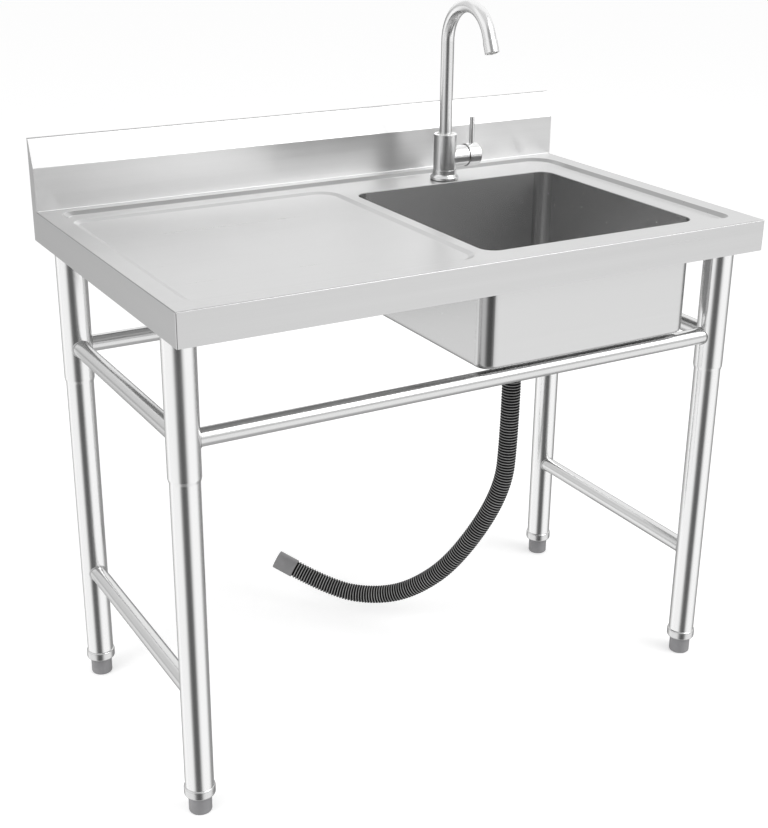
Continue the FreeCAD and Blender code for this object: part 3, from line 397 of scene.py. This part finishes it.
key = lamp("key light", (1.9, -2.3, 3.0), size=2.8, power=60)
fill = lamp("fill light", (-2.6, -0.6, 2.2), size=1.6, power=26)
fill.visible_glossy = False
bpy.context.scene.view_settings.view_transform = "Standard"
print("lamps:", key.name, fill.name)

# %% [markdown]
# The floor is a plain pale sheet. A little glow, seen by the camera alone, lifts it to white without
# adding light to the unit, and the unit's soft shadow stays in it.

# %% Pale floor
FLOOR_REACH = 14.0              # metres from the middle to an edge
FLOOR_COLOUR = (0.80, 0.80, 0.80, 1)
FLOOR_GLOW = 0.40

mesh = bmesh.new()
bmesh.ops.create_grid(mesh, x_segments=1, y_segments=1, size=FLOOR_REACH)
data = bpy.data.meshes.new("floor")
mesh.to_mesh(data)
mesh.free()
floor = bpy.data.objects.new("floor", data)
bpy.context.scene.collection.objects.link(floor)
floor.visible_glossy = False

pale = bpy.data.materials.new("pale floor")
pale.use_nodes = True
tree = pale.node_tree
tree.nodes.clear()
surface = node(tree, "ShaderNodeBsdfDiffuse", {"Color": FLOOR_COLOUR})
path = node(tree, "ShaderNodeLightPath")
shown = sums(tree, "MAXIMUM", path.outputs["Is Camera Ray"], path.outputs["Is Transmission Ray"])
strength = sums(tree, "MULTIPLY", shown, FLOOR_GLOW)
glow = node(tree, "ShaderNodeEmission", {"Color": WHITE, "Strength": strength})
glowing = node(tree, "ShaderNodeAddShader", {0: surface.outputs[0], 1: glow.outputs[0]})
node(tree, "ShaderNodeOutputMaterial", {"Surface": glowing.outputs[0]})
floor.data.materials.append(pale)
print("floor", floor.dimensions[:2])

# %% [markdown]
# ## Finishes shared by several materials
# Brushing, handling marks and moulded grain come back on many pieces, so each is a node group that is
# built once. A group only works out values: how light a scratch is, how high it stands. The shader
# itself stays in each material, where its plain numbers are easy to find.

# %% A group of nodes with named sockets
FLOAT = "NodeSocketFloat"
VECTOR = "NodeSocketVector"


def group(name, inputs, outputs):
    """An empty shader group with inputs (name, kind, default) and float outputs."""
    made = bpy.data.node_groups.new(name, "ShaderNodeTree")
    for socket, kind, default in inputs:
        made_socket = made.interface.new_socket(socket, in_out="INPUT", socket_type=kind)
        if default is not None:
            made_socket.default_value = default
    for socket in outputs:
        made.interface.new_socket(socket, in_out="OUTPUT", socket_type=FLOAT)
    return made, made.nodes.new("NodeGroupInput"), made.nodes.new("NodeGroupOutput")


# %% Brushed lines, handling marks and moulded grain
BROAD_SCALE = 0.13              # scale of the broad lines against the fine ones

brushing, taken, given = group(
    "brushed lines",
    [("Vector", VECTOR, None), ("Length", FLOAT, 3.0), ("Fineness", FLOAT, 900.0)],
    ["Lines", "Broad"])
scale = node(brushing, "ShaderNodeCombineXYZ", {
    "X": taken.outputs["Length"], "Y": taken.outputs["Fineness"], "Z": taken.outputs["Fineness"]})
along_x = node(brushing, "ShaderNodeVectorMath", {0: taken.outputs["Vector"], 1: scale.outputs[0]},
               operation="MULTIPLY").outputs[0]
fine = node(brushing, "ShaderNodeTexNoise", {
    "Vector": along_x, "Scale": 1.0, "Detail": 3.0, "Roughness": 0.65})
wide = node(brushing, "ShaderNodeVectorMath", {0: along_x, "Scale": BROAD_SCALE}, operation="SCALE")
broad = node(brushing, "ShaderNodeTexNoise", {"Vector": wide.outputs[0], "Scale": 1.0, "Detail": 2.0})
brushing.links.new(fine.outputs["Fac"], given.inputs["Lines"])
brushing.links.new(broad.outputs["Fac"], given.inputs["Broad"])

smudging, taken, given = group(
    "handling marks", [("Vector", VECTOR, None), ("Size", FLOAT, 6.0)], ["Marks"])
cloud = node(smudging, "ShaderNodeTexNoise", {
    "Vector": taken.outputs["Vector"], "Scale": taken.outputs["Size"],
    "Detail": 4.0, "Roughness": 0.6, "Distortion": 0.4})
smudging.links.new(spread(smudging, cloud.outputs["Fac"], 0.42, 0.68), given.inputs["Marks"])

graining, taken, given = group(
    "moulded grain", [("Vector", VECTOR, None), ("Scale", FLOAT, 900.0)], ["Grain"])
pits = node(graining, "ShaderNodeTexNoise", {
    "Vector": taken.outputs["Vector"], "Scale": taken.outputs["Scale"],
    "Detail": 2.0, "Roughness": 0.5})
graining.links.new(pits.outputs["Fac"], given.inputs["Grain"])
print("groups:", brushing.name, smudging.name, graining.name)

# %% [markdown]
# ## Steel
# All steel here is one recipe with different numbers: a bright base colour, a roughness that wavers with
# the brushing, and a bump far finer than a hair. The pattern is turned so that its lines run the way the
# real sheet or tube was ground. Grinding also smears every reflection across its lines: that is the
# shader's anisotropy, with a tangent that says which way the smear runs.

# %% Small tools for materials
def start_material(name):
    """An empty material and its node tree."""
    made = bpy.data.materials.new(name)
    made.use_nodes = True
    made.node_tree.nodes.clear()
    return made, made.node_tree


def finish_material(tree, shader):
    """Connects the shader to the surface."""
    node(tree, "ShaderNodeOutputMaterial", {"Surface": shader.outputs[0]})


def grey(tree, value):
    """A grey of a worked-out value."""
    return node(tree, "ShaderNodeCombineColor", {"Red": value, "Green": value, "Blue": value}).outputs[0]


def shade(tree, base, factor, amount, painted_shade_scale=1.0):
    """A grey that wavers about base by an amount, as factor goes from 0 to 1. The last argument scales it,
    for painted shade.
    """
    value = sums(tree, "MULTIPLY_ADD", factor, 2 * amount * base, base * (1 - amount))
    return grey(tree, sums(tree, "MULTIPLY", value, painted_shade_scale))


def upward(tree):
    """The direction straight up."""
    return node(tree, "ShaderNodeCombineXYZ", {"Z": 1.0}).outputs[0]


def vector_mix(tree, factor, first, second):
    """first where the factor is 0, second where it is 1."""
    made = node(tree, "ShaderNodeMix", {0: factor, 4: first, 5: second}, data_type="VECTOR")
    return made.outputs[1]


def brushed(tree, place, length, fineness, broad_share):
    """The brushed lines alone, and mixed with a share of the broad ones."""
    made = node(tree, "ShaderNodeGroup", {"Vector": place, "Length": length, "Fineness": fineness},
                node_tree=brushing)
    lines = made.outputs["Lines"]
    faint = sums(tree, "MULTIPLY", lines, 1 - broad_share)
    return lines, sums(tree, "MULTIPLY_ADD", made.outputs["Broad"], broad_share, faint)


def smudged(tree, place, size):
    """Mask of the handling marks; a larger size number makes smaller marks."""
    return node(tree, "ShaderNodeGroup", {"Vector": place, "Size": size}, node_tree=smudging).outputs[0]


# %% [markdown]
# The worktop is one folded sheet, so its lines run level along each face, round every fold. The crown of
# the backsplash and the slopes of the pressings get painted shade, a darker colour, and that draws the grey
# outline of the drainboard and of the channel.

# %% Lines and painted shade of a folded sheet
SHEET_TOP = 0.815               # height of the worktop's face, metres
CROWN_EDGE = 0.0012             # height of the strip of painted shade at the top of the backsplash
UNDER_FACE = 0.0001             # how far below the worktop's face a pressing counts
solid_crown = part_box("backsplash")[1][2]


def along_sheet(tree, place, normal):
    """For a folded sheet: coordinates whose first axis runs level along each face, as the
    grinding lines do, and the direction across them, into which they smear a reflection."""
    across = node(tree, "ShaderNodeSeparateXYZ", {"Vector": normal}).outputs["X"]
    end_face = sums(tree, "GREATER_THAN", sums(tree, "ABSOLUTE", across), 0.7)
    parts = node(tree, "ShaderNodeSeparateXYZ", {"Vector": place})
    swapped = node(tree, "ShaderNodeCombineXYZ", {
        "X": parts.outputs["Y"], "Y": parts.outputs["X"], "Z": parts.outputs["Z"]})
    lines_place = vector_mix(tree, end_face, place, swapped.outputs[0])
    cross = node(tree, "ShaderNodeVectorMath", {0: normal, 1: (1, 0, 0)}, operation="CROSS_PRODUCT")
    return lines_place, vector_mix(tree, end_face, cross.outputs[0], upward(tree))


def painted_pressing_shade(tree, coordinates):
    """1 on the crown of the backsplash and on the steep slopes of the pressings, where painted
    shade darkens the sheet."""
    height = node(tree, "ShaderNodeSeparateXYZ", {"Vector": coordinates.outputs["Object"]}).outputs["Z"]
    upright = node(tree, "ShaderNodeSeparateXYZ", {"Vector": coordinates.outputs["Normal"]}).outputs["Z"]
    slope = sums(tree, "MULTIPLY", spread(tree, upright, 0.99, 0.86), spread(tree, upright, 0.35, 0.60))
    pressed = sums(tree, "MULTIPLY", slope, sums(tree, "LESS_THAN", height, SHEET_TOP - UNDER_FACE))
    crown = sums(tree, "GREATER_THAN", height, solid_crown - CROWN_EDGE)
    return sums(tree, "MAXIMUM", pressed, crown)


# %% The steel recipe
SCRATCH = 0.00005               # depth of a scratch, metres
WAVER = 0.5                     # share of the roughness that changes along the brushing
FINGERPRINT = 0.03              # roughness that a handling mark adds
PAINTED_SHADE_SHARE = 0.45                # share of the brightness that painted shade takes away


def steel(name, base, roughness, lines_along=(0, 0, 0), length=4.0, fineness=1400.0,
          contrast=0.05, relief=0.12, anisotropy=0.0, folds=False):
    """Ground steel. lines_along turns the pattern from the X axis, in degrees.
    With folds, the lines are those of a folded sheet, and its crown and pressings get painted shade."""
    made, tree = start_material(name)
    coordinates = node(tree, "ShaderNodeTexCoord")
    place = coordinates.outputs["Object"]
    if folds:
        place, smear = along_sheet(tree, place, coordinates.outputs["Normal"])
        # painted shade: the crown of the backsplash and the slopes of the pressings get a darker colour
        painted_shade_scale = sums(tree, "MULTIPLY_ADD", painted_pressing_shade(tree, coordinates), -PAINTED_SHADE_SHARE, 1.0)
    else:
        smear, painted_shade_scale = upward(tree), 1.0
    turned = node(tree, "ShaderNodeMapping",
                  {"Vector": place, "Rotation": [math.radians(angle) for angle in lines_along]})
    lines, mixed = brushed(tree, turned.outputs[0], length, fineness, broad_share=0.6)
    marks = smudged(tree, place, 6.0)
    colour = shade(tree, base, mixed, contrast, painted_shade_scale)
    rough = sums(tree, "MULTIPLY_ADD", mixed, roughness * WAVER,
                 sums(tree, "MULTIPLY_ADD", marks, FINGERPRINT, roughness * (1 - WAVER / 2)))
    bump = node(tree, "ShaderNodeBump", {"Height": lines, "Strength": relief, "Distance": SCRATCH})
    shader = node(tree, "ShaderNodeBsdfPrincipled",
                  {"Base Color": colour, "Metallic": 1.0, "Roughness": rough, "Normal": bump.outputs[0],
                   "Anisotropic": anisotropy})
    if anisotropy:
        tree.links.new(smear, shader.inputs["Tangent"])
    finish_material(tree, shader)
    return made


worktop_steel = steel("brushed worktop steel", 0.62, 0.30, contrast=0.06, fineness=700.0, length=7.0,
                      relief=0.03, anisotropy=0.6, folds=True)
tube_steel = steel("polished tube steel", 0.85, 0.20, lines_along=(0, 90, 0), contrast=0.02, relief=0.05)
rail_steel = steel("polished rail steel", 0.71, 0.20, contrast=0.02, relief=0.05)
frame_steel = steel("mill finish steel", 0.62, 0.34, contrast=0.06)
faucet_steel = steel("brushed faucet steel", 0.84, 0.21, contrast=0.03, fineness=900.0, relief=0.015,
                     anisotropy=0.6)
small_steel = steel("turned steel", 0.70, 0.22, contrast=0.03)
strainer_steel = steel("pressed strainer steel", 0.70, 0.2, contrast=0.03)
weld_steel = steel("weld steel", 0.55, 0.34, contrast=0.20, fineness=500.0, relief=0.3)
print("steels:", len([material for material in bpy.data.materials if "steel" in material.name]))

# %% [markdown]
# The basin has two greys in one material: a bright one on its flat walls, and a darker one on its floor and
# in its round corners, which is painted shade. The mesh isn't split for that. A mask of places that lie
# nearer to the middle than the flat walls, and not below the drain's dish, tells the two apart. It goes by
# place alone, so a wall looks the same from inside and from outside.

# %% The basin: bright walls, painted shade on the floor and in the corners
WALL_GREY = 0.66
# the darker grey is painted shade on the basin's floor and in its round corners
PAINTED_SHADE_GREY = 0.46
BASIN_FLANGE = 0.006            # welded rim outside the walls' inner faces
WALL_GAP = 0.00005              # distance from those faces at which the painted shade ends
BASIN_DEPTH = 0.186
DISH_REACH = 0.0028             # how far below the floor the painted shade goes, for the drain's dish
BASIN_WAVER = 0.05


def off_the_walls(tree, place):
    """1 on the basin's floor and in its round corners, 0 on its flat walls."""
    low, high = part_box("basin")
    parts = node(tree, "ShaderNodeSeparateXYZ", {"Vector": place})
    reach = []
    for axis, socket in ((0, "X"), (1, "Y")):
        centre = (low[axis] + high[axis]) / 2
        inner_face = (high[axis] - low[axis]) / 2 - BASIN_FLANGE
        away = sums(tree, "ABSOLUTE", sums(tree, "SUBTRACT", parts.outputs[socket], centre))
        reach.append(sums(tree, "SUBTRACT", away, inner_face - WALL_GAP))
    between_walls = sums(tree, "LESS_THAN", sums(tree, "MAXIMUM", *reach), 0.0)
    lowest = SHEET_TOP - BASIN_DEPTH - DISH_REACH
    return sums(tree, "MULTIPLY", between_walls, sums(tree, "GREATER_THAN", parts.outputs["Z"], lowest))


def basin_finish():
    """Rolled sheet, with painted shade on its floor and in its round corners."""
    made, tree = start_material("basin steel")
    place = node(tree, "ShaderNodeTexCoord").outputs["Object"]
    painted_shade_place = off_the_walls(tree, place)
    mixed = brushed(tree, place, length=5.0, fineness=1300.0, broad_share=0.8)[1]
    # painted shade: the floor and the round corners get the darker grey
    base = sums(tree, "MULTIPLY_ADD", painted_shade_place, PAINTED_SHADE_GREY - WALL_GREY, WALL_GREY)
    wavering = sums(tree, "MULTIPLY_ADD", mixed, BASIN_WAVER, 1 - BASIN_WAVER / 2)
    rough = sums(tree, "MULTIPLY_ADD", mixed, 0.02, 0.26)
    bump = node(tree, "ShaderNodeBump", {"Height": mixed, "Strength": 0.005, "Distance": SCRATCH})
    finish_material(tree, node(tree, "ShaderNodeBsdfPrincipled", {
        "Base Color": grey(tree, sums(tree, "MULTIPLY", base, wavering)), "Metallic": 1.0,
        "Roughness": rough, "Normal": bump.outputs[0],
        "Anisotropic": 0.6, "Tangent": upward(tree)}))
    return made


basin_steel = basin_finish()
print("basin finish ready:", basin_steel.name)

# %% [markdown]
# ## Plastic, rubber and brass
# Moulded parts need three things to look real at this size: a fine grain that breaks up the highlight,
# a slight change of colour, and the right gloss.

# %% The moulded recipe
GRAIN_FINENESS = 1500.0
GRAIN_DEPTH = 0.0002            # metres
SMEAR = 0.08                    # change of roughness between clean and handled places


def moulded(name, colour, roughness, grain=0.08, metallic=0.0, variation=0.15):
    """Moulded or cast material with a fine grain and faint marks."""
    made, tree = start_material(name)
    place = node(tree, "ShaderNodeTexCoord").outputs["Object"]
    pits = node(tree, "ShaderNodeGroup", {"Vector": place, "Scale": GRAIN_FINENESS}, node_tree=graining)
    marks = smudged(tree, place, 25.0)
    factor = sums(tree, "MULTIPLY_ADD", marks, variation, 1 - variation / 2)
    tinted = node(tree, "ShaderNodeVectorMath", {0: colour, "Scale": factor}, operation="SCALE")
    rough = sums(tree, "MULTIPLY_ADD", marks, SMEAR, roughness - SMEAR / 2)
    bump = node(tree, "ShaderNodeBump", {
        "Height": pits.outputs["Grain"], "Strength": grain, "Distance": GRAIN_DEPTH})
    finish_material(tree, node(tree, "ShaderNodeBsdfPrincipled", {
        "Base Color": tinted.outputs[0], "Metallic": metallic, "Roughness": rough,
        "Normal": bump.outputs[0]}))
    return made


grey_plastic = moulded("grey foot plastic", (0.290, 0.287, 0.296), 0.42)
cuff_plastic = moulded("grey cuff plastic", (0.27, 0.267, 0.272), 0.32)
black_plastic = moulded("black drain plastic", (0.03, 0.03, 0.032), 0.38)
cuff_rubber = moulded("black hose rubber", (0.018, 0.018, 0.020), 0.30, grain=0.04)
seal_rubber = moulded("seal rubber", (0.03, 0.03, 0.03), 0.6)
white_plastic = moulded("white plastic", (0.80, 0.80, 0.78), 0.4)
brass = moulded("machined brass", (0.72, 0.54, 0.28), 0.28, metallic=1.0, variation=0.08)
print("moulded materials ready, the last one:", brass.name)

# %% [markdown]
# The hose's rubber is matt black. A painted highlight draws thin grey lines along the crests of its ribs,
# and painted shade darkens the valleys. The height on a rib was stored on each vertex when the hose was
# drawn, and a power of it leaves only the very top. A low specular level keeps the pale room out of the
# valleys.

# %% The ribbed rubber
CREST_SHARPNESS = 6.0
# the crest grey is a painted highlight; the valley grey is the black rubber with painted shade
CREST_HIGHLIGHT_GREY = 0.40
CREST_MARKS = 0.08              # grey that a handling mark adds on a crest
VALLEY_SHADE_GREY = 0.002
CREST_ROUGHNESS = 0.22
VALLEY_ROUGHNESS = 0.56


def ribbed_finish():
    """Black rubber with painted shade in the valleys, and a painted highlight of bright grey along the
    crests.
    """
    made, tree = start_material("ribbed hose rubber")
    crest = node(tree, "ShaderNodeAttribute", attribute_name="crest").outputs["Fac"]
    crest_highlight = sums(tree, "POWER", crest, CREST_SHARPNESS)
    marks = smudged(tree, node(tree, "ShaderNodeTexCoord").outputs["Object"], 40.0)
    highlight_grey = sums(tree, "MULTIPLY_ADD", marks, CREST_MARKS, CREST_HIGHLIGHT_GREY)
    # painted highlight on the crests over painted shade in the valleys
    value = sums(tree, "MULTIPLY_ADD", crest_highlight, highlight_grey, VALLEY_SHADE_GREY)
    rough = sums(tree, "MULTIPLY_ADD", crest_highlight, CREST_ROUGHNESS - VALLEY_ROUGHNESS, VALLEY_ROUGHNESS)
    finish_material(tree, node(tree, "ShaderNodeBsdfPrincipled", {
        "Base Color": grey(tree, value), "Roughness": rough, "Specular IOR Level": 0.12}))
    return made


ribbed_rubber = ribbed_finish()
print("ribbed rubber ready:", ribbed_rubber.name)

# %% [markdown]
# ## Dressing the solids
# Each solid keeps its own shape and gets one material. Names that share a beginning share a finish, so
# a short table of beginnings covers them all. The first one that fits is taken.

# %% Materials on the solids
FINISHES = [
    ("worktop", worktop_steel), ("backsplash", worktop_steel), ("basin", basin_steel),
    ("leg_channel", frame_steel), ("stiffener", frame_steel), ("leg_sockets", frame_steel),
    ("upper_leg", tube_steel), ("lower_leg", tube_steel),
    ("upper_rail", rail_steel), ("lower_rail", rail_steel), ("foot_insert", small_steel),
    ("foot_", grey_plastic), ("leg_screws", small_steel), ("drain_screw", small_steel),
    ("handle_screw", small_steel), ("stem_pin", small_steel),
    ("faucet_flange", faucet_steel), ("faucet_body", faucet_steel), ("handle_", faucet_steel),
    ("spout_bush", white_plastic), ("spout_orings", seal_rubber), ("spout", faucet_steel),
    ("aerator_housing", faucet_steel), ("aerator_insert", white_plastic),
    ("faucet_shank", brass), ("faucet_nut", brass), ("cartridge_stem", brass), ("cartridge_nut", brass),
    ("cartridge_", white_plastic), ("faucet_gasket", seal_rubber), ("faucet_washer", seal_rubber),
    ("drain_gasket", seal_rubber), ("strainer_", strainer_steel), ("drain_body", black_plastic),
    ("hose_nut", black_plastic), ("hose_top_cuff", cuff_rubber), ("hose_end_cuff", cuff_plastic),
]
dressed = 0
for name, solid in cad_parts.items():
    if name == "drain_hose":
        continue
    finish = next(material for beginning, material in FINISHES if name.startswith(beginning))
    solid.data.materials.clear()
    solid.data.materials.append(finish)
    dressed += 1
hose.data.materials.append(ribbed_rubber)
for bead in beads:
    bead.data.materials.append(weld_steel)
print("dressed solids:", dressed)
